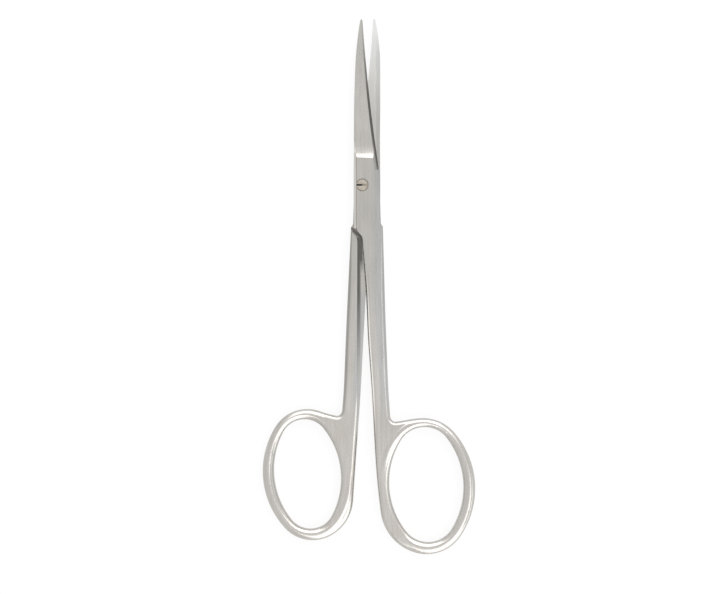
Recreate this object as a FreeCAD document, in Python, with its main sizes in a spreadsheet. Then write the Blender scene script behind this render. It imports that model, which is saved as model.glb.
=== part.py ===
import FreeCAD, Part
import os
from math import atan2, cos, degrees, radians, sqrt, tan

import Sketcher
from FreeCAD import Placement, Rotation, Vector

# Iris scissors, 115 mm long, lying flat with the blades towards +Y.
# The joint screw stands on the Z axis, and z = 0 is the surface that the pair lies on.
# Each half is drawn closed, with its finger ring at +X and the spine of its blade at -X,
# and x = 0 is the line on which the two halves meet. The outer face of a half is its top.
# The front half lies as it is drawn, and the back half is turned over.

# Sizes in millimetres, angles in degrees.
SHARED_SIZES = {
    # Stack of the two halves, and how far each is swung open at rest.
    "half_thickness": 1.6,
    "lap_gap": 0.02,
    "rest_swing": 1.75,
    # Joint screw and its seats.
    "screw_offset": 1.0,
    "stem_diameter": 1.9,
    "stem_running_gap": 0.03,
    "stem_thread_gap": 0.01,
    "head_diameter": 2.5,
    "head_height": 0.5,
    "head_side_gap": 0.16,
    "head_seat_gap": 0.01,
    "head_break": 0.1,
    "slot_width": 0.42,
    "slot_depth": 0.3,
    "tail_flare": 0.25,
    # Joint, between the shoulder and the ledge of the blade.
    "joint_spine": 2.86,
    "joint_side": 2.72,
    "joint_bevel": 0.3,
    "choil_start": 0.6,
    # Shoulder, where the half steps from full thickness to half thickness.
    "shoulder_place": 9.3,
    "shoulder_flare": 0.2,
    "side_flare_length": 1.1,
    "shoulder_shelf": 0.56,
    "shoulder_land": 0.6,
    "shoulder_slant": 0.74,
    "shoulder_slant_drop": 0.85,
    "shoulder_inset": 1.17,
    "shoulder_drop": 3.1,
    "shoulder_gap": 0.34,
    # Low strip along the spine of the joint, in line with the shoulder.
    "strip_depth": 0.3,
    "strip_wall_angle": 65.0,
    "strip_fall": 12.0,
    # Blade.
    "ledge_place": 7.3,
    "ledge_radius": 3.0,
    "ledge_depth": 0.4,
    "blade_tilt": 2.5,
    "tip_thickness": 0.45,
    "tip_length": 0.3,
    "spine_at_ledge": 2.5,
    "heel_place": 4.2,
    "heel_width": 2.55,
    "hone_angle": 60.0,
    "hone_land": 0.04,
    # Shank and finger ring.
    "shoulder_round": 0.3,
    "wall_round": 0.46,
    "ring_meeting": 20.0,
    "corner_radius": 1.3,
    "recess_width": 0.98,
    "recess_straight": 38.0,
    "recess_lean": 1.6,
    "recess_end": 68.0,
}

# The two halves are forged and ground apart, so these sizes differ from one to the other.
FRONT_SIZES = {
    "tip_reach": 35.6,
    "tip_spine": 0.36,
    "tip_edge": 0.12,
    "edge_hollow": 0.31,
    "spine_near_tip": 1.25,
    "spine_mid_blade": 2.05,
    "shank_top": 3.14,
    "shank_middle": 3.10,
    "shank_low": 3.24,
    "shank_foot": 3.46,
    "inner_top": 0.92,
    "inner_middle": 0.80,
    "inner_low": 0.36,
    "inner_ring": 0.04,
    "ring_across": 10.46,
    "ring_along": 65.05,
    "ring_half_width": 10.8,
    "ring_half_length": 14.6,
    "wall_top": 1.90,
    "wall_bottom": 2.50,
    "wall_inner": 3.17,
    "wall_outer": 2.50,
    "ring_lean": 1.75,
    "seat_drop": 0.6,
}
BACK_SIZES = {
    "tip_reach": 35.8,
    "tip_spine": 0.74,
    "tip_edge": -0.28,
    "edge_hollow": 0.48,
    "spine_near_tip": 1.72,
    "spine_mid_blade": 2.22,
    "shank_top": 3.14,
    "shank_middle": 3.48,
    "shank_low": 3.62,
    "shank_foot": 3.82,
    "inner_top": 0.50,
    "inner_middle": 0.24,
    "inner_low": 0.02,
    "inner_ring": -0.49,
    "ring_across": 10.34,
    "ring_along": 62.51,
    "ring_half_width": 10.1,
    "ring_half_length": 14.1,
    "wall_top": 2.12,
    "wall_bottom": 2.48,
    "wall_inner": 3.46,
    "wall_outer": 2.44,
    "ring_lean": -7.25,
    "seat_drop": 1.2,
}

# Distances down the shank at which its inner edge is set.
INNER_TOP_PLACE = 22.5
INNER_MIDDLE_PLACE = 33.3
INNER_LOW_PLACE = 44.0
INNER_RING_PLACE = 57.0
# Distance down the shank at which its outer edge is set between its ends.
SHANK_MIDDLE_PLACE = 28.6
# How far each side of a bend the edge of the shank, and the shoulder, curve.
BEND_REACH = 2.0
SHOULDER_BEND_REACH = 0.15
# Distances up the blade at which its spine is set.
SPINE_LEDGE_PLACE = 9.8
SPINE_MID_PLACE = 20.5
SPINE_TIP_PLACE = 30.0

# Run across, for a run of one along, of the spine at the joint and near the tip, and of the
# recess where it leaves the shank.
SPINE_LEAN = 0.03
TIP_LEAN = 0.25
RUN_OUT_LEAN = 0.10

# Cuts run this far past the metal that they remove.
CLEAR = 1.0
# Lengths under this count as nothing.
FLAT = 0.01
RIGHT_ANGLE = radians(90)
# How much rounder than an ellipse the ends of a ring are, from 0 to 1.
OVAL_FULLNESS = 0.3
# A curve that bulges less than this is a straight line.
STRAIGHT = 0.0005

STACK = "2 * Sizes.half_thickness + Sizes.lap_gap"

UP = Vector(0, 0, 1)
DOWN_SHANK = Vector(0, -1, 0)
UP_SHANK = Vector(0, 1, 0)

doc = FreeCAD.newDocument("iris_scissors")


def fill_sheet():
    """Writes every size into its own named cell."""
    sheet = doc.addObject("Spreadsheet::Sheet", "Sizes")
    rows = list(SHARED_SIZES.items())
    rows += [("front_" + name, value) for name, value in FRONT_SIZES.items()]
    rows += [("back_" + name, value) for name, value in BACK_SIZES.items()]
    for row, (name, value) in enumerate(rows, start=1):
        sheet.set("A%d" % row, name)
        sheet.set("B%d" % row, repr(value))
        sheet.setAlias("B%d" % row, name)
    doc.recompute()
    return sheet


sizes = fill_sheet()


def size(name):
    """The value of one named cell."""
    return float(sizes.get(name))


def stack_height():
    """Thickness of the joint: both laps and the gap between them."""
    return 2 * size("half_thickness") + size("lap_gap")


def lap_height():
    """Height, in a half's own drawing, of the face that it laps the other half with."""
    return size("half_thickness") + size("lap_gap")


def new_sketch(body, name, role, offset=None):
    """An empty sketch on one of the body's own origin planes."""
    sketch = body.newObject("Sketcher::SketchObject", name)
    plane = next(plane for plane in body.Origin.OriginFeatures if plane.Role == role)
    sketch.AttachmentSupport = (plane, [""])
    sketch.MapMode = "FlatFace"
    if offset is not None:
        sketch.AttachmentOffset = offset
    return sketch


def end_at(sketch, index, place):
    """Which end of a drawn curve, 1 or 2, lies at a place."""
    return min((1, 2), key=lambda end: sketch.getPoint(index, end).distanceToPoint(place))


def draw_loop(sketch, curves):
    """Draws curves end to end and joins the last one to the first."""
    indexes = [sketch.addGeometry(curve, False) for curve in curves]
    for number, curve in enumerate(curves):
        place = curve.EndPoint
        here = indexes[number]
        following = indexes[(number + 1) % len(indexes)]
        ends = (here, end_at(sketch, here, place), following, end_at(sketch, following, place))
        sketch.addConstraint(Sketcher.Constraint("Coincident", *ends))


def draw_circle(sketch, sign, diameter):
    """Draws a circle where the screw passes, on the +X or -X side, bound to formulas."""
    across = sign * size("screw_offset")
    index = sketch.addGeometry(Part.Circle(Vector(across, 0, 0), UP, 1.0), False)
    place = sketch.addConstraint(Sketcher.Constraint("DistanceX", -1, 1, index, 3, across))
    sketch.setExpression("Constraints[%d]" % place, "%d * Sizes.screw_offset" % sign)
    sketch.addConstraint(Sketcher.Constraint("PointOnObject", index, 3, -1))
    bound = sketch.addConstraint(Sketcher.Constraint("Diameter", index, 2.0))
    sketch.setExpression("Constraints[%d]" % bound, diameter)


def polygon(points):
    """Straight curves from each point to the next and back to the first."""
    return [Part.LineSegment(start, end) for start, end in zip(points, points[1:] + points[:1])]


def left_of(direction):
    """The direction turned a quarter to the left."""
    return Vector(-direction.y, direction.x, 0)


def arc_from(start, direction, end):
    """The arc that leaves start in a direction and ends at end, or a line where they agree."""
    chord = end - start
    lean = atan2(chord.cross(direction).z, chord.dot(direction))
    bulge = 0.5 * tan(0.5 * lean)
    if abs(bulge) * chord.Length < STRAIGHT:
        return Part.LineSegment(start, end)
    return Part.Arc(start, start + chord * 0.5 + left_of(chord) * bulge, end)


def tangent_arcs(start, start_direction, end, end_direction):
    """Two arcs, tangent where they meet, that leave and arrive in the given directions."""
    leave = Vector(start_direction).normalize()
    arrive = Vector(end_direction).normalize()
    chord = end - start
    along = chord.dot(leave + arrive)
    spread = 2 * (1 - leave.dot(arrive))
    reach = chord.dot(chord) / (along + sqrt(along ** 2 + spread * chord.dot(chord)))
    middle = (start + end + (leave - arrive) * reach) * 0.5
    first = middle - start
    turned = first * (2 * first.dot(leave) / first.dot(first)) - leave
    return [arc_from(start, leave, middle), arc_from(middle, turned, end)]


def smooth_curve(points, start_direction, end_direction):
    """Tangent arcs through the points, which leave and arrive in the given directions."""
    directions = [start_direction]
    for before, here, after in zip(points, points[1:], points[2:]):
        coming = here - before
        going = after - here
        lean = coming * (going.Length / coming.Length) + going * (coming.Length / going.Length)
        directions.append(lean)
    directions.append(end_direction)
    curves = []
    for number in range(len(points) - 1):
        ends = (points[number], directions[number], points[number + 1], directions[number + 1])
        curves += tangent_arcs(*ends)
    return curves


def bent_line(points, reach):
    """Straight runs from point to point, joined by tangent arcs that reach a little way each side."""
    curves = []
    here = points[0]
    for before, corner, after in zip(points, points[1:], points[2:]):
        coming = (corner - before).normalize()
        going = (after - corner).normalize()
        start = corner - coming * reach
        end = corner + going * reach
        curves += [Part.LineSegment(here, start), arc_from(start, coming, end)]
        here = end
    curves.append(Part.LineSegment(here, points[-1]))
    return curves


def pocket(body, name, sketch, depth, reversed_cut):
    """Cuts a sketch into the body and makes sure that it removed metal."""
    doc.recompute()
    before = body.Shape.Volume
    cut = body.newObject("PartDesign::Pocket", name)
    cut.Profile = sketch
    cut.Reversed = reversed_cut
    cut.setExpression("Length", depth)
    doc.recompute()
    if not body.Shape.Volume < before:
        raise RuntimeError(name + " removes nothing")
    return cut


def chamfer(body, name, edge_names, amount):
    """Bevels the named edges of the body as it stands."""
    carrier = body.Tip
    bevel = body.newObject("PartDesign::Chamfer", name)
    bevel.Base = (carrier, edge_names)
    bevel.setExpression("Size", amount)
    doc.recompute()


class Half:
    """One half of the pair, drawn closed with its ring at +X."""

    def __init__(self, side, screw_sign):
        self.side = side
        self.screw_sign = screw_sign

    def own(self, name):
        return size(self.side + "_" + name)

    def oval(self, shift, half_width, half_length, start=None, stop=None):
        """A four-arc oval in the ring, shifted from its middle, whole or from angle to angle."""
        tight = half_width ** 2 / half_length
        end_radius = tight + OVAL_FULLNESS * (half_width - tight)
        end_centre = half_length - end_radius
        flat = half_width ** 2 + half_length ** 2 - 2 * half_length * end_radius
        side_radius = flat / (2 * (half_width - end_radius))
        side_centre = side_radius - half_width
        span = atan2(side_centre, end_centre)
        arcs = [
            (Vector(0, -end_centre, 0), end_radius, -RIGHT_ANGLE - span, -RIGHT_ANGLE + span),
            (Vector(-side_centre, 0, 0), side_radius, -RIGHT_ANGLE + span, RIGHT_ANGLE - span),
            (Vector(0, end_centre, 0), end_radius, RIGHT_ANGLE - span, RIGHT_ANGLE + span),
            (Vector(side_centre, 0, 0), side_radius, RIGHT_ANGLE + span, 3 * RIGHT_ANGLE - span),
        ]
        lean = radians(self.own("ring_lean"))
        turn = Rotation(UP, self.own("ring_lean"))
        middle = Vector(self.own("ring_across"), -self.own("ring_along"), 0)
        curves = []
        for centre, radius, low, high in arcs:
            low = low if start is None else max(low, start)
            high = high if stop is None else min(high, stop)
            if high > low:
                circle = Part.Circle(middle + turn.multVec(centre + shift), UP, radius)
                curves.append(Part.ArcOfCircle(circle, lean + low, lean + high))
        return curves

    def ring_arcs(self):
        """The outer edge of the ring, from where the shank's inner edge meets it to its top."""
        half_width = self.own("ring_half_width")
        half_length = self.own("ring_half_length")
        start = -RIGHT_ANGLE - radians(size("ring_meeting"))
        return self.oval(Vector(0, 0, 0), half_width, half_length, start, RIGHT_ANGLE)

    def hole_arcs(self):
        """The hole of the ring, from the four walls round it."""
        inner = self.own("wall_inner")
        outer = self.own("wall_outer")
        top = self.own("wall_top")
        bottom = self.own("wall_bottom")
        shift = Vector(0.5 * (inner - outer), 0.5 * (bottom - top), 0)
        half_width = self.own("ring_half_width") - 0.5 * (inner + outer)
        half_length = self.own("ring_half_length") - 0.5 * (top + bottom)
        return self.oval(shift, half_width, half_length)

    def shoulder_start(self):
        """Where the shoulder leaves the spine side of the joint."""
        return Vector(-size("joint_spine") - size("shoulder_flare"), -size("shoulder_place"), 0)

    def neck_start(self):
        """Where the handle leaves the shoulder, in from the spine by the width of the low strip."""
        return self.shoulder_start() + Vector(size("shoulder_shelf"), 0, 0)

    def shoulder_curve(self, gap, end_direction, toward=1):
        """The S-curve of the shoulder, set back by a gap and run towards +X or, mirrored, -X."""
        begin = self.neck_start() + Vector(-gap, -gap, 0)
        start = Vector(toward * begin.x, begin.y, 0)
        corner = start + Vector(0, -size("shoulder_land"), 0)
        slant = Vector(toward * size("shoulder_slant"), -size("shoulder_slant_drop"), 0)
        end = start + Vector(toward * size("shoulder_inset"), -size("shoulder_drop"), 0)
        upper = bent_line([start, corner, corner + slant], SHOULDER_BEND_REACH)
        return upper + tangent_arcs(corner + slant, slant, end, end_direction)

    def inner_points(self):
        """Where the shank's inner edge bends, below the shoulder."""
        return [
            Vector(-self.own("inner_top"), -INNER_TOP_PLACE, 0),
            Vector(-self.own("inner_middle"), -INNER_MIDDLE_PLACE, 0),
            Vector(-self.own("inner_low"), -INNER_LOW_PLACE, 0),
            Vector(-self.own("inner_ring"), -INNER_RING_PLACE, 0),
        ]

    def handle_outline(self):
        """Shank and ring, from the shoulder down."""
        inner = self.inner_points()
        neck_start = self.neck_start()
        shoulder_end = neck_start + Vector(size("shoulder_inset"), -size("shoulder_drop"), 0)
        ring = self.ring_arcs()
        ring_bottom = ring[0].StartPoint
        ring_top = ring[-1].EndPoint
        ring_start = left_of(ring_bottom - ring[0].Center)
        ring_end = left_of(ring_top - ring[-1].Center)
        corner = size("corner_radius")
        shank_top = Vector(self.own("shank_top"), -size("shoulder_place"), 0)
        shank_low = Vector(self.own("shank_low"), -INNER_LOW_PLACE, 0)
        seat_y = ring_top.y - self.own("seat_drop")
        shank_foot = Vector(self.own("shank_foot"), seat_y + corner, 0)
        seat = Vector(shank_foot.x + corner, seat_y, 0)
        seat_lean = seat - ring_top
        middle = Vector(self.own("shank_middle"), -SHANK_MIDDLE_PLACE, 0)

        outline = self.shoulder_curve(0.0, inner[0] - shoulder_end)
        outline += bent_line([shoulder_end] + inner, BEND_REACH)
        outline += tangent_arcs(inner[-1], inner[-1] - inner[-2], ring_bottom, ring_start)
        outline += ring
        outline += tangent_arcs(ring_top, ring_end, seat, seat_lean)
        outline += tangent_arcs(seat, seat_lean, shank_foot, shank_low - shank_foot)
        outline += bent_line([shank_foot, shank_low, middle, shank_top], BEND_REACH)
        outline.append(Part.LineSegment(shank_top, neck_start))
        return outline

    def handle_blank(self):
        """The shank and ring at full thickness, square edged."""
        body = doc.addObject("PartDesign::Body", self.side + "_handle_blank")
        sketch = new_sketch(body, self.side + "_handle_outline", "XY_Plane")
        draw_loop(sketch, self.handle_outline())
        draw_loop(sketch, self.hole_arcs())
        pad = body.newObject("PartDesign::Pad", self.side + "_handle_pad")
        pad.Profile = sketch
        pad.setExpression("Length", STACK)
        doc.recompute()
        return body

    def edge_round(self, vertex):
        """Radius of the rounded outline at a place: small at the shoulder, full from there down."""
        full = size("wall_round") * self.own("wall_top")
        small_end = size("shoulder_place") + size("shoulder_drop")
        share = (-vertex.Y - small_end) / (INNER_TOP_PLACE - small_end)
        return size("shoulder_round") + (full - size("shoulder_round")) * min(max(share, 0), 1)

    def rounded_handle(self):
        """The blank with its outline rounded on both faces."""
        blank = self.handle_blank()
        rounded = doc.addObject("Part::Fillet", self.side + "_rounded_handle")
        rounded.Base = blank
        edges = []
        for number, edge in enumerate(blank.Shape.Edges, start=1):
            first, last = edge.firstVertex(), edge.lastVertex()
            upright = edge.BoundBox.ZLength > FLAT
            across_shoulder = edge.BoundBox.YMin > -size("shoulder_place") - FLAT
            if not upright and not across_shoulder:
                edges.append((number, self.edge_round(first), self.edge_round(last)))
        rounded.Edges = edges
        doc.recompute()
        return rounded

    def edge_ends(self):
        """The two ends of the cutting edge, at its heel and at the tip."""
        heel = Vector(size("heel_width"), size("heel_place"), 0)
        tip = Vector(self.own("tip_edge"), self.own("tip_reach") - size("tip_length"), 0)
        return heel, tip

    def edge_arc(self):
        """The cutting edge, a shallow hollow arc: its middle, its centre and its radius."""
        heel, tip = self.edge_ends()
        chord = tip - heel
        hollow = self.own("edge_hollow")
        outward = Vector(chord.y, -chord.x, 0).normalize()
        radius = chord.Length ** 2 / (8 * hollow) + hollow / 2
        middle = (heel + tip) * 0.5 - outward * hollow
        return middle, middle + outward * radius, radius

    def ledge_spine(self):
        """Where the spine of the blade begins, beside the ledge."""
        return Vector(-size("spine_at_ledge"), SPINE_LEDGE_PLACE, 0)

    def lap_outline(self):
        """Joint and blade, from the shoulder up to the tip."""
        heel, tip = self.edge_ends()
        middle, edge_centre = self.edge_arc()[:2]
        reach = self.own("tip_reach")
        shank_top = Vector(self.own("shank_top"), -size("shoulder_place"), 0)
        joint_side = size("joint_side")
        flare_end = Vector(joint_side, shank_top.y + size("side_flare_length"), 0)
        choil_start = Vector(joint_side, size("choil_start"), 0)
        edge = Part.Arc(heel, middle, tip)
        edge_start = left_of(edge_centre - heel)
        tip_middle = Vector((self.own("tip_edge") - self.own("tip_spine")) * 0.5, reach, 0)
        tip_spine = Vector(-self.own("tip_spine"), reach - size("tip_length"), 0)
        ledge_spine = self.ledge_spine()
        spine_lean = Vector(-SPINE_LEAN, -1, 0)
        blade_spine = [
            tip_spine,
            Vector(-self.own("spine_near_tip"), SPINE_TIP_PLACE, 0),
            Vector(-self.own("spine_mid_blade"), SPINE_MID_PLACE, 0),
            ledge_spine,
        ]
        shoulder = self.shoulder_start()
        joint_spine = [ledge_spine, Vector(-size("joint_spine"), 0, 0), shoulder]
        outline = [Part.LineSegment(shoulder, shank_top)]
        outline += tangent_arcs(shank_top, UP_SHANK, flare_end, UP_SHANK)
        outline.append(Part.LineSegment(flare_end, choil_start))
        outline += tangent_arcs(choil_start, UP_SHANK, heel, edge_start)
        outline += [edge, Part.Arc(tip, tip_middle, tip_spine)]
        outline += smooth_curve(blade_spine, Vector(-TIP_LEAN, -1, 0), spine_lean)
        outline += smooth_curve(joint_spine, spine_lean, spine_lean)
        return outline

    def lap_blank(self):
        """Joint and blade at half thickness, on the outer side of the half."""
        body = doc.addObject("PartDesign::Body", self.side + "_lap_blank")
        sketch = new_sketch(body, self.side + "_lap_outline", "XY_Plane")
        sketch.setExpression("AttachmentOffset.Base.z", "Sizes.half_thickness + Sizes.lap_gap")
        draw_loop(sketch, self.lap_outline())
        pad = body.newObject("PartDesign::Pad", self.side + "_lap")
        pad.Profile = sketch
        pad.setExpression("Length", "Sizes.half_thickness")
        doc.recompute()
        return body

    def cut_recess(self, body):
        """The recess in the shank that the other half closes into, with its S-curved wall."""
        along_wall = Vector(-tan(radians(size("recess_lean"))), -1, 0)
        turned = self.shoulder_curve(size("shoulder_gap"), along_wall, -1)
        wall_top = turned[0].StartPoint
        wall_low = Vector(size("recess_width"), -size("recess_straight"), 0)
        run_out = Vector(-self.own("inner_ring") - CLEAR, -size("recess_end") - CLEAR, 0)
        wall = tangent_arcs(turned[-1].EndPoint, along_wall, wall_low, along_wall)
        fade = tangent_arcs(wall_low, along_wall, run_out, Vector(-RUN_OUT_LEAN, -1, 0))
        left = -size("joint_spine") - 2 * CLEAR
        right = self.own("shank_top") + CLEAR
        above = -size("shoulder_place") + CLEAR
        corners = [
            run_out,
            Vector(left, run_out.y, 0),
            Vector(left, above, 0),
            Vector(right, above, 0),
            Vector(right, wall_top.y, 0),
            wall_top,
        ]
        rest = [Part.LineSegment(start, end) for start, end in zip(corners, corners[1:])]
        sketch = new_sketch(body, self.side + "_recess_outline", "XY_Plane")
        draw_loop(sketch, turned + wall + fade + rest)
        pocket(body, self.side + "_recess", sketch, "Sizes.half_thickness + Sizes.lap_gap", True)

    def bevel_joint(self, body):
        """Bevels the outer edge of the joint, all round from its straight side."""
        names = []
        for number, edge in enumerate(body.Shape.Edges, start=1):
            box = edge.BoundBox
            on_top = box.ZMin > stack_height() - FLAT
            if on_top and isinstance(edge.Curve, Part.Line) and box.YLength > FLAT:
                names.append("Edge%d" % number)
        chamfer(body, self.side + "_joint_bevel", names, "Sizes.joint_bevel")

    def lower_strip(self, body):
        """Lowers a strip along the spine of the joint, with a steep wall and a gentle fall."""
        top = stack_height()
        depth = size("strip_depth")
        inset = size("shoulder_shelf")
        wall = tan(radians(size("strip_wall_angle")))
        fall = tan(radians(size("strip_fall")))
        foot = Vector(-inset + depth / wall, top - depth, 0)
        corners = [
            foot,
            Vector(CLEAR, foot.y - (CLEAR - foot.x) * fall, 0),
            Vector(CLEAR, top + CLEAR, 0),
            Vector(-inset - CLEAR / wall, top + CLEAR, 0),
        ]
        shoulder = self.shoulder_start()
        outward = left_of(self.ledge_spine() - shoulder)
        turn = Rotation(Vector(0, 1, 0), degrees(atan2(outward.y, outward.x)))
        offset = Placement(Vector(shoulder.x, 0, -shoulder.y), turn)
        sketch = new_sketch(body, self.side + "_strip_profile", "XZ_Plane", offset)
        draw_loop(sketch, polygon(corners))
        cut = pocket(body, self.side + "_strip", sketch, "4 * Sizes.shoulder_place", False)
        cut.SideType = "Symmetric"
        doc.recompute()

    def grind_blade(self, body):
        """Grinds the outer face of the blade thin: tapered, tilted to the edge, with a ledge."""
        tilt = size("blade_tilt")
        scale = cos(radians(tilt))
        top = stack_height()
        radius = size("ledge_radius")
        ledge = size("ledge_place")
        reach = self.own("tip_reach") + CLEAR
        face = top - size("ledge_depth")
        tip_face = lap_height() + size("tip_thickness")
        rise = size("ledge_depth") + CLEAR
        arc_top = Vector(ledge - sqrt(2 * radius * rise - rise ** 2), (face + rise) * scale, 0)
        arc_foot = Vector(ledge, face * scale, 0)
        half_rise = radius * (1 - cos(0.5 * atan2(ledge - arc_top.x, radius - rise)))
        half_run = sqrt(2 * radius * half_rise - half_rise ** 2)
        arc_middle = Vector(ledge - half_run, (face + half_rise) * scale, 0)
        corners = [
            arc_foot,
            Vector(reach, tip_face * scale, 0),
            Vector(reach, (top + 2 * CLEAR) * scale, 0),
            Vector(arc_top.x, (top + 2 * CLEAR) * scale, 0),
            arc_top,
        ]
        sides = [Part.LineSegment(start, end) for start, end in zip(corners, corners[1:])]
        offset = Placement(Vector(0, 0, 0), Rotation(Vector(1, 0, 0), tilt))
        sketch = new_sketch(body, self.side + "_grind_profile", "YZ_Plane", offset)
        draw_loop(sketch, [Part.Arc(arc_top, arc_middle, arc_foot)] + sides)
        cut = pocket(body, self.side + "_grind", sketch, "4 * Sizes.joint_side", False)
        cut.SideType = "Symmetric"
        doc.recompute()

    def hone_edge(self, body):
        """Hones the cutting edge with a steep facet that follows it from the heel to the tip."""
        middle, centre, radius = self.edge_arc()
        heel, tip = self.edge_ends()
        slope = tan(radians(size("hone_angle")))
        foot = lap_height() + size("hone_land")
        height = size("half_thickness") + CLEAR
        corners = [
            Vector(radius - CLEAR, foot - CLEAR * slope, 0),
            Vector(radius + height / slope, foot + height, 0),
            Vector(radius - CLEAR, foot + height, 0),
        ]
        towards = middle - centre
        turn = Rotation(Vector(0, 1, 0), degrees(atan2(towards.y, towards.x)))
        offset = Placement(Vector(centre.x, 0, -centre.y), turn)
        sketch = new_sketch(body, self.side + "_hone_profile", "XZ_Plane", offset)
        draw_loop(sketch, polygon(corners))
        doc.recompute()
        before = body.Shape.Volume
        groove = body.newObject("PartDesign::Groove", self.side + "_hone")
        groove.Profile = sketch
        groove.ReferenceAxis = (sketch, ["V_Axis"])
        groove.Midplane = True
        groove.Angle = degrees(((tip - heel).Length + 2 * CLEAR) / radius)
        doc.recompute()
        if not body.Shape.Volume < before:
            raise RuntimeError("the hone removes nothing")

    def drill(self, body, name, diameter, start, depth):
        """A round hole on the screw's axis, from a height upwards."""
        sketch = new_sketch(body, self.side + "_" + name + "_circle", "XY_Plane")
        sketch.setExpression("AttachmentOffset.Base.z", start)
        draw_circle(sketch, self.screw_sign, diameter)
        pocket(body, self.side + "_" + name, sketch, depth, True)

    def shape_half(self):
        """The whole half, in its own drawing."""
        lap = self.lap_blank()
        self.bevel_joint(lap)
        self.lower_strip(lap)
        self.grind_blade(lap)
        self.hone_edge(lap)
        forging = doc.addObject("Part::Fuse", self.side + "_forging")
        forging.Base = self.rounded_handle()
        forging.Tool = lap
        forging.Refine = False
        doc.recompute()
        body = doc.addObject("PartDesign::Body", self.side + "_half")
        body.BaseFeature = forging
        doc.recompute()
        self.cut_recess(body)
        return body


def front_half():
    """The half that lies above, with the seat of the screw's head."""
    half = Half("front", -1)
    body = half.shape_half()
    half.drill(body, "stem_hole", "Sizes.stem_diameter + 2 * Sizes.stem_running_gap", "0", STACK)
    seat = "Sizes.head_diameter + 2 * Sizes.head_side_gap"
    seat_floor = STACK + " - Sizes.head_height"
    half.drill(body, "head_seat", seat, seat_floor, "Sizes.half_thickness")
    turn = Rotation(UP, size("rest_swing"))
    body.Placement = Placement(turn.multVec(Vector(size("screw_offset"), 0, 0)), turn)
    return body


def back_half():
    """The half that lies below, turned over, with the flared seat of the screw's tail."""
    half = Half("back", 1)
    body = half.shape_half()
    half.drill(body, "stem_hole", "Sizes.stem_diameter + 2 * Sizes.stem_thread_gap", "0", STACK)
    rims = [
        "Edge%d" % number
        for number, edge in enumerate(body.Shape.Edges, start=1)
        if is_rim(edge, size("stem_diameter") / 2 + size("stem_thread_gap"), stack_height())
    ]
    chamfer(body, "back_tail_flare", rims, "Sizes.tail_flare")
    over = Rotation(Vector(0, 1, 0), 180)
    swing = Rotation(UP, -size("rest_swing"))
    place = swing.multVec(Vector(size("screw_offset"), 0, stack_height()))
    body.Placement = Placement(place, swing.multiply(over))
    return body


def is_rim(edge, radius, height):
    """Whether an edge is a circle of a radius at a height."""
    round_edge = isinstance(edge.Curve, Part.Circle) and abs(edge.Curve.Radius - radius) < FLAT
    return round_edge and abs(edge.Curve.Center.z - height) < FLAT


def pivot_screw():
    """The slotted joint screw, turned, with its tail peened flush into the back half."""
    body = doc.addObject("PartDesign::Body", "pivot_screw")
    stem = size("stem_diameter") / 2
    head = size("head_diameter") / 2
    top = stack_height()
    head_floor = top - size("head_height") + size("head_seat_gap")
    edge_break = size("head_break")
    profile = [
        Vector(0, 0, 0),
        Vector(stem + size("tail_flare"), 0, 0),
        Vector(stem, size("tail_flare"), 0),
        Vector(stem, head_floor, 0),
        Vector(head, head_floor, 0),
        Vector(head, top - edge_break, 0),
        Vector(head - edge_break, top, 0),
        Vector(0, top, 0),
    ]
    sketch = new_sketch(body, "screw_profile", "XZ_Plane")
    draw_loop(sketch, polygon(profile))
    turned = body.newObject("PartDesign::Revolution", "screw_turned")
    turned.Profile = sketch
    turned.ReferenceAxis = (sketch, ["V_Axis"])
    turned.Angle = 360
    doc.recompute()
    slot = new_sketch(body, "screw_slot_outline", "XY_Plane")
    slot.setExpression("AttachmentOffset.Base.z", STACK + " - Sizes.slot_depth")
    half_slot = size("slot_width") / 2
    across = head + CLEAR
    corners = [
        Vector(-across, -half_slot, 0),
        Vector(across, -half_slot, 0),
        Vector(across, half_slot, 0),
        Vector(-across, half_slot, 0),
    ]
    draw_loop(slot, polygon(corners))
    pocket(body, "screw_slot", slot, "Sizes.half_thickness", True)
    return body


def check_document():
    """Stops if any object of the document failed."""
    for item in doc.Objects:
        if "Invalid" in item.State or "Error" in item.State:
            raise RuntimeError("%s failed: %s" % (item.Name, item.State))


def write_parts(bodies):
    """Writes each piece to its own file."""
    for body in bodies:
        shape = body.Shape
        if shape.isNull() or not shape.isValid() or len(shape.Solids) != 1:
            raise RuntimeError(body.Label + " is not one sound solid")
    os.makedirs("parts", exist_ok=True)
    for body in bodies:
        body.Shape.exportStep("parts/%s.step" % body.Label)
        box = body.Shape.BoundBox
        print(body.Label, round(body.Shape.Volume, 2), "mm3", box)


bodies = [front_half(), back_half(), pivot_screw()]
doc.recompute()
check_document()
write_parts(bodies)
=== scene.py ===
from collections import namedtuple
from math import cos, radians, sin

import bpy
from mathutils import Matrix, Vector

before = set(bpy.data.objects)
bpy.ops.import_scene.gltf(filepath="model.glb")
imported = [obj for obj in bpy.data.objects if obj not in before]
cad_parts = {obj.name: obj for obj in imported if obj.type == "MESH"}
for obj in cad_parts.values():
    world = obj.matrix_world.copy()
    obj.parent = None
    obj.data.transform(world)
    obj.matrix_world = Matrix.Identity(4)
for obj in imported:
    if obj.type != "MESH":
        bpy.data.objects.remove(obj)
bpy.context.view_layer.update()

MM = 0.001

# The camera looks straight down from far above, as a long lens does, and sees this width.
VIEW_WIDTH = 155.4 * MM
VIEW_CENTRE = Vector((-0.17, -24.04, 1.6)) * MM
LENS = 150.0
SENSOR = 36.0

# Each lamp's compass direction, 0 being +X and 90 being +Y, its height in degrees, its width in
# metres and its watts.
LAMPS = {
    "lamp_tips": (90.0, 38.0, 0.80, 3.1),
    "lamp_lower_right": (-58.0, 41.0, 1.0, 4.5),
    "lamp_upper_right": (50.0, 38.0, 0.5, 1.1),
}
LAMP_DISTANCE = 0.8

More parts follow.
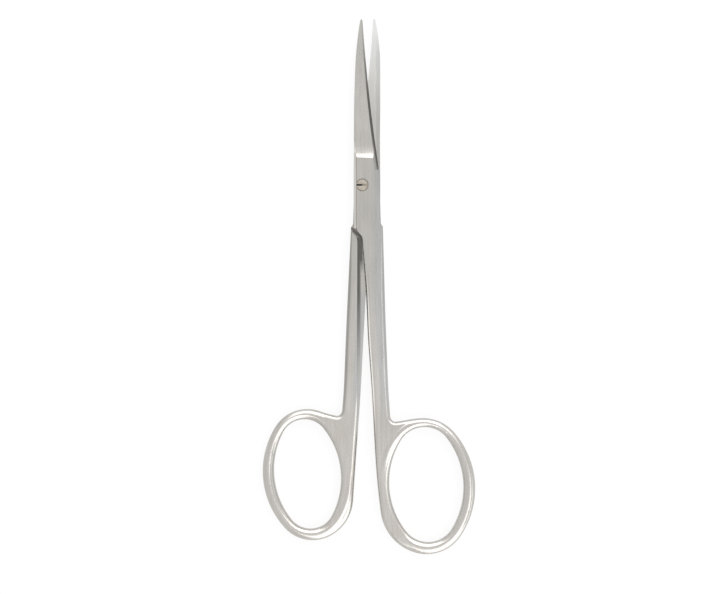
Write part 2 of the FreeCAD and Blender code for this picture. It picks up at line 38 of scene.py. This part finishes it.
FLOOR_WIDTH = 3.0
FLOOR_COLOUR = (0.93, 0.93, 0.93, 1.0)
FLOOR_ROUGHNESS = 0.9
# How much of the floor's white is its own light: as mirrored in metal, and added for the camera.
FLOOR_GLOW = 0.75
FLOOR_GLOW_FOR_CAMERA = 0.13
WHITE = (1.0, 1.0, 1.0, 1.0)
WORLD_FILL = 0.75

# What differs between the two forgings. A side is -1 for -X and 1 for +X, and a run along the
# scissors is measured from the screw towards the tips.
Half = namedtuple("Half", [
    "steel",
    "recess_wall",       # the side of the wall of its recess
    "ring_centre",       # middle line of the finger ring: centre, half sizes, lean
    "ring_half_sizes",
    "ring_lean",
    "web_side",          # the side of the ring's web to the shank
    "web_run",           # where along the ring the dome runs out towards the web
    # Right of the crease a cool reflection is painted.
    "crease",            # place across of the soft crease, how far it wanders, its upper end
    "crease_spread",
    "crease_top",
    # The -X wall's brightness is painted light: a painted highlight above 1, a painted shade below
    # 1.
    "left_wall_tone",    # brightness of the shank's wall that faces -X
    "left_wall_run",     # where that wall's own brightness is full, and where it ends
])
FRONT_HALF = Half(
    steel="front_steel",
    recess_wall=1.0,
    ring_centre=Vector((13.61, -64.55, 0.0)) * MM,
    ring_half_sizes=(9.38 * MM, 13.50 * MM),
    ring_lean=radians(3.5),
    web_side=-1.0,
    web_run=(0.65, 0.15),
    crease=2.6 * MM,
    crease_spread=1.27 * MM,
    crease_top=40 * MM,
    # A painted highlight on the front half's -X wall.
    left_wall_tone=1.9,
    left_wall_run=(-30 * MM, -12 * MM),
)
BACK_HALF = Half(
    steel="back_steel",
    recess_wall=-1.0,
    ring_centre=Vector((-11.49, -62.07, 0.0)) * MM,
    ring_half_sizes=(8.63 * MM, 12.95 * MM),
    ring_lean=radians(5.5),
    web_side=1.0,
    web_run=(-0.5, 0.0),
    crease=-1.2 * MM,
    crease_spread=-0.8 * MM,
    crease_top=-25 * MM,
    # A painted shade on the back half's -X wall.
    left_wall_tone=0.7,
    left_wall_run=(-9.4 * MM, -9.2 * MM),
)

# The flat of a buffed ring is domed this far each side of its middle line. The drop is the bend
# times the square of the distance from that line, in metres.
DOME_REACH = 0.75 * MM
DOME_BEND = 300.0
# The dome runs out towards the web over this part of the ring's half width.
WEB_ACROSS = (0.35, 0.6)

# Bare metal as it shines: the blades and joint, and the warmer, lighter shanks and rings.
BLADE_DARK = (0.410, 0.396, 0.372)
BLADE_LIGHT = (0.455, 0.440, 0.415)
RING_DARK = (0.485, 0.458, 0.428)
RING_LIGHT = (0.535, 0.518, 0.492)
# A painted sheen for the inner face near the tip.
INNER_TIP_SHEEN = (0.680, 0.680, 0.670)
UNTINTED = (1.0, 1.0, 1.0)
# A painted cool reflection for the facet right of the crease.
COOL_REFLECTION_TINT = (0.89, 0.92, 0.96)
SCREW_DARK = (0.390, 0.345, 0.290)
SCREW_LIGHT = (0.500, 0.455, 0.395)

# Patterns in the steel, as their fineness per metre along X, Y and Z: the small number is the
# long way. Their values seldom leave the spread.
HAIRLINES = (9000.0, 260.0, 9000.0)
DRAW_MARKS = (1500.0, 14.0, 1500.0)
FORGED_CLOUDS = (260.0, 90.0, 260.0)
TURNED_CLOUDS = (1500.0, 1500.0, 1500.0)
SPREAD = (0.3, 0.7)

# Smoothness of the steel. The buffed shanks and rings are smoother than the ground blades.
HAIRLINE_ROUGHNESS = (0.24, 0.36)
BUFFED_SMOOTHER = 0.05
SCREW_ROUGHNESS = 0.32
HAIRLINE_DEPTH = 0.01 * MM
HAIRLINE_RELIEF = (0.15, 0.05)
HAIRLINE_RELIEF_OFF_FLAT = 0.2

# How light or dark each part comes out beside the plain steel. The draw marks are the steel's own;
# the side walls, recess, honed facet and screw slot get painted shade, and the spine's strip, the
# honed heel and the ledge get painted highlights.
DRAW_MARK_TONES = (0.955, 1.045)
SIDE_SHADE_TONE = 0.85
STRIP_HIGHLIGHT_TONE = 1.35
FAR_SIDE_TONE = 0.86
RECESS_SHADE_TONE = 0.30
FACET_SHADE_TONE = 0.42
UPPER_HEEL_HIGHLIGHT_TONE = 2.0
LEDGE_HIGHLIGHT_TONE = 1.12
ABOVE_LEDGE_HIGHLIGHT_TONE = 1.24
SLOT_SHADE_TONE = 0.12

# What is left of each painted shade and sheen where it fades out.
INNER_TIP_SHEEN_AT_JOINT = 0.15
RECESS_SHADE_AT_MIDDLE = 0.35
GAP_SHADE_AT_LOWER_SIDE = 0.15
GAP_SHADE_AT_UPPER_SIDE = 0.40
SLOT_SHADE_AT_RIGHT_END = 0.25

# Heights above the table where a part of the surface starts or ends.
RECESS_FLOOR_BOTTOM = (1.50 * MM, 1.56 * MM)
RECESS_FLOOR_TOP = (1.66 * MM, 1.72 * MM)
INNER_FACE_BOTTOM = (1.55 * MM, 1.58 * MM)
INNER_FACE_TOP = (1.64 * MM, 1.67 * MM)
UPPER_HEEL_BOTTOM = (2.30 * MM, 2.50 * MM)
ABOVE_LEDGE_BOTTOM = (2.0 * MM, 2.2 * MM)
SLOT_TOP = (2.94 * MM, 3.06 * MM)

# Places along the scissors, from the screw towards the tips, where a part starts or ends.
BLADE_START = (3 * MM, 5 * MM)
TIP_START = (15 * MM, 33 * MM)
FACET_START = (1.5 * MM, 3.0 * MM)
FACET_END = (20 * MM, 26 * MM)
UPPER_HEEL_END = (8 * MM, 12 * MM)
ABOVE_LEDGE_START = (6.8 * MM, 7.1 * MM)
ABOVE_LEDGE_END = (7.1 * MM, 8.6 * MM)
FAR_SIDE_END = (29 * MM, 33 * MM)
STRIP_START = (-9.4 * MM, -9.2 * MM)
LEFT_WALL_START = (-54 * MM, -46 * MM)
WARM_TO_COOL = (-48 * MM, -16 * MM)
BUFFED_END = (-50 * MM, -42 * MM)
COOL_SIDE_START = (-54.0 * MM, -44.0 * MM)
CREASE_WANDERS = (-46.2 * MM, -25.0 * MM)
RECESS_END = (-9.2 * MM, -8.9 * MM)
RECESS_DARKENS = (-42.0 * MM, -23.0 * MM)
RECESS_UPPER_END = (-19.0 * MM, -16.0 * MM)
SHOULDER_TURN = (-11.4 * MM, -10.8 * MM)
# The slanted run of the shoulder's gap, measured aslant, as the place along less that across.
GAP_LOWER_SIDE = (-12.30 * MM, -11.90 * MM)
GAP_UPPER_SIDE = (-11.30 * MM, -11.05 * MM)

# Places across, from the screw.
FAR_SIDE_ACROSS = (2.8 * MM, 3.1 * MM)
RECESS_BY_WALL = (0.20 * MM, 0.62 * MM)
RECESS_MIDDLE = (-0.15 * MM, 0.10 * MM)
CREASE_SOFTNESS = 0.15 * MM
COOL_SIDE_FADE = 3 * MM
SLOT_SHADE_ACROSS = (-0.25 * MM, 0.35 * MM)

# The way a part faces, as the share of its normal along an axis.
FLAT_FACES_UP = (0.90, 0.99)
RING_FLAT_FACES_UP = (0.80, 0.97)
SIDE_FACES_UP = (0.12, 0.5)
STRIP_FACES_LEFT = (-0.30, -0.26)
STRIP_FACES_LEAST_LEFT = (-0.16, -0.12)
LEFT_WALL_FACES_LEFT = (-0.55, -0.30)
FACET_FACES_RIGHT = (0.70, 0.80)
FACET_FACES_UP = (0.30, 0.42)
LEDGE_FACES_TIPS = (0.12, 0.30)

# A piece's surface as its material sees it: the place, and the way it faces.
Surface = namedtuple("Surface", "place x y z facing_x facing_y facing_z")


def node(tree, kind, **settings):
    made = tree.nodes.new(kind)
    for name, value in settings.items():
        setattr(made, name, value)
    return made


def wire(source, target):
    source.id_data.links.new(source, target)


def grain(place, stretch, detail=4.0):
    """Fine noise drawn out into hairlines: the long way of the grain has the small number."""
    mapping = node(place.id_data, "ShaderNodeMapping")
    mapping.inputs["Scale"].default_value = stretch
    wire(place, mapping.inputs["Vector"])
    noise = node(place.id_data, "ShaderNodeTexNoise")
    noise.inputs["Scale"].default_value = 1.0
    noise.inputs["Detail"].default_value = detail
    wire(mapping.outputs["Vector"], noise.inputs["Vector"])
    return noise.outputs["Fac"]


def ranged(value, low, high, from_low, from_high):
    """The value carried from one range to another, and held at its ends."""
    made = node(value.id_data, "ShaderNodeMapRange", clamp=True)
    made.inputs["From Min"].default_value = from_low
    made.inputs["From Max"].default_value = from_high
    made.inputs["To Min"].default_value = low
    made.inputs["To Max"].default_value = high
    wire(value, made.inputs["Value"])
    return made.outputs["Result"]


def rises(value, start, full):
    """A share of 0 up to the start and 1 from the full value on."""
    return ranged(value, 0.0, 1.0, start, full)


def falls(value, full, end):
    """A share of 1 up to the full value and 0 from the end on."""
    return ranged(value, 1.0, 0.0, full, end)


def toned(share, tone):
    """Plain steel where the share is 0, and the tone where it is 1."""
    return ranged(share, 1.0, tone, 0.0, 1.0)


def worked_out(operation, first, second):
    """Two values put together by arithmetic; the second may be a plain number."""
    made = node(first.id_data, "ShaderNodeMath", operation=operation)
    wire(first, made.inputs[0])
    if isinstance(second, float):
        made.inputs[1].default_value = second
    else:
        wire(second, made.inputs[1])
    return made.outputs["Value"]


def product(first, *others):
    made = first
    for other in others:
        made = worked_out("MULTIPLY", made, other)
    return made


def either(first, second):
    """The larger of two shares."""
    return worked_out("MAXIMUM", first, second)


def blended(share, first, second):
    """One colour turning into another as the share goes from 0 to 1."""
    made = node(share.id_data, "ShaderNodeMix", data_type="RGBA")
    for colour, socket in ((first, made.inputs["A"]), (second, made.inputs["B"])):
        if isinstance(colour, tuple):
            socket.default_value = (*colour, 1.0)
        else:
            wire(colour, socket)
    wire(share, made.inputs["Factor"])
    return made.outputs["Result"]


def tinted(colour, tint):
    made = node(colour.id_data, "ShaderNodeVectorMath", operation="MULTIPLY")
    wire(colour, made.inputs[0])
    wire(tint, made.inputs[1])
    return made.outputs["Vector"]


def dimmed(colour, strength):
    made = node(colour.id_data, "ShaderNodeVectorMath", operation="SCALE")
    wire(colour, made.inputs[0])
    wire(strength, made.inputs["Scale"])
    return made.outputs["Vector"]


def split(vector):
    made = node(vector.id_data, "ShaderNodeSeparateXYZ")
    wire(vector, made.inputs["Vector"])
    return made.outputs["X"], made.outputs["Y"], made.outputs["Z"]


def metal(name):
    """A bare metal, its shader, and the surface of the piece that it is on."""
    material = bpy.data.materials.new(name)
    material.use_nodes = True
    tree = material.node_tree
    shader = tree.nodes["Principled BSDF"]
    shader.inputs["Metallic"].default_value = 1.0
    coordinates = node(tree, "ShaderNodeTexCoord")
    place = coordinates.outputs["Object"]
    surface = Surface(place, *split(place), *split(coordinates.outputs["Normal"]))
    return material, shader, surface


def on_blade(surface):
    return rises(surface.y, *BLADE_START)


def forged_colour(surface):
    """Ground blade and joint, turning into the warmer, lighter buffed shank and ring."""
    clouds = rises(grain(surface.place, FORGED_CLOUDS, 2.0), *SPREAD)
    blade = blended(clouds, BLADE_DARK, BLADE_LIGHT)
    ring = blended(clouds, RING_DARK, RING_LIGHT)
    return blended(falls(surface.y, *WARM_TO_COOL), blade, ring)


def inner_tip_sheen(surface):
    """A painted sheen on the ground inner face, strongest near the tip."""
    inner_face = product(rises(surface.z, *INNER_FACE_BOTTOM), falls(surface.z, *INNER_FACE_TOP))
    near_tip = ranged(surface.y, INNER_TIP_SHEEN_AT_JOINT, 1.0, *TIP_START)
    return product(inner_face, near_tip, on_blade(surface))


def cool_reflection_side(surface, half):
    """A painted cool reflection on the part of the joint's face and of the shank right of a soft
    crease, which looks bluer.
    """
    wandered = ranged(surface.y, half.crease_spread, 0.0, *CREASE_WANDERS)
    past_crease = rises(worked_out("SUBTRACT", surface.x, wandered),
                        half.crease - CREASE_SOFTNESS, half.crease + CREASE_SOFTNESS)
    lower = rises(surface.y, *COOL_SIDE_START)
    upper = falls(surface.y, half.crease_top, half.crease_top + COOL_SIDE_FADE)
    return product(past_crease, lower, upper)


def half_colour(surface, half):
    forged = blended(inner_tip_sheen(surface), forged_colour(surface), INNER_TIP_SHEEN)
    return tinted(forged, blended(cool_reflection_side(surface, half), UNTINTED, COOL_REFLECTION_TINT))


def recess_painted_shade(surface, half):
    """Painted shade on the floor of the recess: darkest along its wall and at its upper end."""
    floor = product(rises(surface.z, *RECESS_FLOOR_BOTTOM), falls(surface.z, *RECESS_FLOOR_TOP),
                    falls(surface.y, *RECESS_END))
    towards_wall = product(surface.x, half.recess_wall)
    upper_end = product(rises(surface.y, *RECESS_UPPER_END),
                        ranged(towards_wall, RECESS_SHADE_AT_MIDDLE, 1.0, *RECESS_MIDDLE))
    across_gap = worked_out("SUBTRACT", surface.y, towards_wall)
    slanted_run = product(ranged(across_gap, GAP_SHADE_AT_LOWER_SIDE, 1.0, *GAP_LOWER_SIDE),
                          ranged(across_gap, 1.0, GAP_SHADE_AT_UPPER_SIDE, *GAP_UPPER_SIDE))
    shade = product(floor,
                    either(rises(towards_wall, *RECESS_BY_WALL), upper_end),
                    rises(surface.y, *RECESS_DARKENS),
                    either(slanted_run, falls(surface.y, *SHOULDER_TURN)))
    return toned(shade, RECESS_SHADE_TONE)


def honed_shade_and_heel_highlight(surface):
    """Painted shade on the honed facet, and a painted highlight on its heel on the upper blade."""
    facing = product(rises(surface.facing_x, *FACET_FACES_RIGHT),
                     rises(surface.facing_z, *FACET_FACES_UP))
    along_edge = product(facing, rises(surface.y, *FACET_START))
    facet = product(along_edge, falls(surface.y, *FACET_END))
    upper_heel = product(rises(surface.z, *UPPER_HEEL_BOTTOM), along_edge,
                         falls(surface.y, *UPPER_HEEL_END))
    return product(toned(facet, FACET_SHADE_TONE), toned(upper_heel, UPPER_HEEL_HIGHLIGHT_TONE))


def spine_highlight_and_far_side_tone(surface):
    """A painted highlight on the low strip along the spine; the blades' +X side is a little
    darker.
    """
    strip = product(rises(surface.facing_x, *STRIP_FACES_LEFT),
                    falls(surface.facing_x, *STRIP_FACES_LEAST_LEFT),
                    rises(surface.y, *STRIP_START))
    far_side = product(rises(surface.x, *FAR_SIDE_ACROSS), falls(surface.y, *FAR_SIDE_END),
                       on_blade(surface))
    return product(toned(strip, STRIP_HIGHLIGHT_TONE), toned(far_side, FAR_SIDE_TONE))


def ledge_highlight(surface):
    """A painted highlight on the curved ledge of the hollow and on the face just above it."""
    ledge = product(rises(surface.facing_y, *LEDGE_FACES_TIPS), on_blade(surface))
    above_ledge = product(rises(surface.y, *ABOVE_LEDGE_START), falls(surface.y, *ABOVE_LEDGE_END),
                          rises(surface.z, *ABOVE_LEDGE_BOTTOM))
    return product(toned(ledge, LEDGE_HIGHLIGHT_TONE), toned(above_ledge, ABOVE_LEDGE_HIGHLIGHT_TONE))


def left_wall_tone(surface, half):
    """The wall of the shank that faces -X gets painted light: a painted highlight where its tone
    is above 1, a painted shade where it is below.
    """
    wall = product(falls(surface.facing_x, *LEFT_WALL_FACES_LEFT),
                   falls(surface.y, *half.left_wall_run),
                   rises(surface.y, *LEFT_WALL_START))
    return toned(wall, half.left_wall_tone)


def domed_ring(surface, half):
    """A gentle roundness across the flat of the ring, as buffing leaves it."""
    half_width, half_length = half.ring_half_sizes
    mapping = node(surface.place.id_data, "ShaderNodeMapping", vector_type="TEXTURE")
    mapping.inputs["Location"].default_value = half.ring_centre
    mapping.inputs["Rotation"].default_value = (0.0, 0.0, half.ring_lean)
    mapping.inputs["Scale"].default_value = (half_width, half_length, 1.0)
    wire(surface.place, mapping.inputs["Vector"])
    length = node(surface.place.id_data, "ShaderNodeVectorMath", operation="LENGTH")
    wire(mapping.outputs["Vector"], length.inputs[0])
    reach = 2 * DOME_REACH / (half_width + half_length)
    across = ranged(length.outputs["Value"], -DOME_REACH, DOME_REACH, 1 - reach, 1 + reach)
    flat = rises(worked_out("ABSOLUTE", surface.facing_z, 0.0), *RING_FLAT_FACES_UP)
    ring_x, ring_y, _ = split(mapping.outputs["Vector"])
    web = product(rises(product(ring_x, half.web_side), *WEB_ACROSS),
                  rises(ring_y, *half.web_run))
    dome = node(surface.place.id_data, "ShaderNodeBump")
    dome.inputs["Distance"].default_value = 1.0
    wire(product(flat, falls(web, 0.0, 1.0)), dome.inputs["Strength"])
    wire(product(across, across, -DOME_BEND), dome.inputs["Height"])
    return dome.outputs["Normal"]


def ground_relief(surface, half, hairlines, buffed):
    """Grinding lines on the flats, shallower where the steel is buffed, over the ring's dome."""
    bump = node(surface.place.id_data, "ShaderNodeBump")
    on_flat = ranged(surface.facing_z, HAIRLINE_RELIEF_OFF_FLAT, 1.0, *FLAT_FACES_UP)
    relief = ranged(buffed, *HAIRLINE_RELIEF, 0.0, 1.0)
    wire(product(relief, on_flat), bump.inputs["Strength"])
    bump.inputs["Distance"].default_value = HAIRLINE_DEPTH
    wire(hairlines, bump.inputs["Height"])
    wire(domed_ring(surface, half), bump.inputs["Normal"])
    return bump.outputs["Normal"]


def half_steel(half):
    """Satin steel of one half: its colour, its painted shade and painted highlights, and its
    grinding.
    """
    material, shader, surface = metal(half.steel)
    hairlines = grain(surface.place, HAIRLINES)
    draw_marks = grain(surface.place, DRAW_MARKS, 2.0)
    # The draw marks are the steel's own; the walls, recess, honed facet, -X wall, spine strip and
    # ledge carry painted shade and painted highlights.
    strength = product(ranged(draw_marks, *DRAW_MARK_TONES, *SPREAD),
                       # Steep side walls get a painted shade.
                       ranged(surface.facing_z, SIDE_SHADE_TONE, 1.0, *SIDE_FACES_UP),
                       # Painted shade in the recess.
                       recess_painted_shade(surface, half),
                       honed_shade_and_heel_highlight(surface),
                       left_wall_tone(surface, half),
                       spine_highlight_and_far_side_tone(surface),
                       ledge_highlight(surface))
    wire(dimmed(half_colour(surface, half), strength), shader.inputs["Base Color"])

    buffed = falls(surface.y, *BUFFED_END)
    rough = worked_out("SUBTRACT", ranged(hairlines, *HAIRLINE_ROUGHNESS, *SPREAD),
                       product(buffed, BUFFED_SMOOTHER))
    wire(rough, shader.inputs["Roughness"])
    wire(ground_relief(surface, half, hairlines, buffed), shader.inputs["Normal"])
    return material


def screw_steel():
    """Turned, warmer steel of the screw, with painted shade in the slot, most of it at the -X end.
    """
    material, shader, surface = metal("turned_screw_steel")
    clouds = rises(grain(surface.place, TURNED_CLOUDS, 3.0), *SPREAD)
    # Painted shade in the screw's slot, darkest at its -X end.
    slot_shade = product(falls(surface.z, *SLOT_TOP),
                   ranged(surface.x, 1.0, SLOT_SHADE_AT_RIGHT_END, *SLOT_SHADE_ACROSS))
    wire(dimmed(blended(clouds, SCREW_DARK, SCREW_LIGHT), toned(slot_shade, SLOT_SHADE_TONE)),
         shader.inputs["Base Color"])
    shader.inputs["Roughness"].default_value = SCREW_ROUGHNESS
    return material


def seen_directly(tree):
    """Two shares: 1 for camera and mirrored rays, and 1 for camera rays alone."""
    path = node(tree, "ShaderNodeLightPath")
    mirrored = either(path.outputs["Is Glossy Ray"], path.outputs["Is Transmission Ray"])
    by_camera = path.outputs["Is Camera Ray"]
    return either(by_camera, mirrored), by_camera


def mixed(share, first, second, output):
    """Two shaders mixed by a share and led to the output."""
    blend = node(share.id_data, "ShaderNodeMixShader")
    wire(share, blend.inputs["Fac"])
    wire(first, blend.inputs[1])
    wire(second, blend.inputs[2])
    wire(blend.outputs["Shader"], output)


def pale_floor():
    bpy.ops.mesh.primitive_plane_add(size=FLOOR_WIDTH)
    floor = bpy.context.object
    floor.name = "floor"
    material = bpy.data.materials.new("pale_floor")
    material.use_nodes = True
    tree = material.node_tree
    shader = tree.nodes["Principled BSDF"]
    shader.inputs["Base Color"].default_value = FLOOR_COLOUR
    shader.inputs["Roughness"].default_value = FLOOR_ROUGHNESS
    white = node(tree, "ShaderNodeEmission")
    white.inputs["Strength"].default_value = 1.0
    seen, by_camera = seen_directly(tree)
    share = worked_out("ADD", product(seen, FLOOR_GLOW),
                       product(by_camera, FLOOR_GLOW_FOR_CAMERA))
    mixed(share, shader.outputs["BSDF"], white.outputs["Emission"],
          tree.nodes["Material Output"].inputs["Surface"])
    floor.data.materials.append(material)


def white_world():
    """Plain white where it is seen or mirrored, and a softer white as light on the object."""
    world = bpy.data.worlds.new("studio")
    bpy.context.scene.world = world
    world.use_nodes = True
    tree = world.node_tree
    fill = tree.nodes["Background"]
    white = node(tree, "ShaderNodeBackground")
    for background, strength in ((fill, WORLD_FILL), (white, 1.0)):
        background.inputs["Color"].default_value = WHITE
        background.inputs["Strength"].default_value = strength
    seen, _ = seen_directly(tree)
    mixed(seen, fill.outputs["Background"], white.outputs["Background"],
          tree.nodes["World Output"].inputs["Surface"])


def soft_lamp(name, azimuth, elevation, width, watts):
    """A square soft box that looks at the middle of the picture."""
    lamp = bpy.data.lights.new(name, "AREA")
    lamp.shape = "SQUARE"
    lamp.size = width
    lamp.energy = watts
    made = bpy.data.objects.new(name, lamp)
    bpy.context.scene.collection.objects.link(made)
    aim = Vector((VIEW_CENTRE.x, VIEW_CENTRE.y, 0.0))
    turn = radians(azimuth)
    rise = radians(elevation)
    away = Vector((cos(turn) * cos(rise), sin(turn) * cos(rise), sin(rise)))
    made.location = aim + away * LAMP_DISTANCE
    made.rotation_euler = (-away).to_track_quat("-Z", "Y").to_euler()


def camera_above():
    camera = bpy.data.cameras.new("camera")
    camera.lens = LENS
    camera.sensor_width = SENSOR
    made = bpy.data.objects.new("camera", camera)
    bpy.context.scene.collection.objects.link(made)
    made.location = VIEW_CENTRE + Vector((0.0, 0.0, VIEW_WIDTH * LENS / SENSOR))
    bpy.context.scene.camera = made


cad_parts["front_half"].material_slots[0].material = half_steel(FRONT_HALF)
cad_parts["back_half"].material_slots[0].material = half_steel(BACK_HALF)
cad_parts["pivot_screw"].material_slots[0].material = screw_steel()

pale_floor()
white_world()
for lamp_name, settings in LAMPS.items():
    soft_lamp(lamp_name, *settings)
camera_above()
bpy.context.scene.view_settings.view_transform = "Standard"
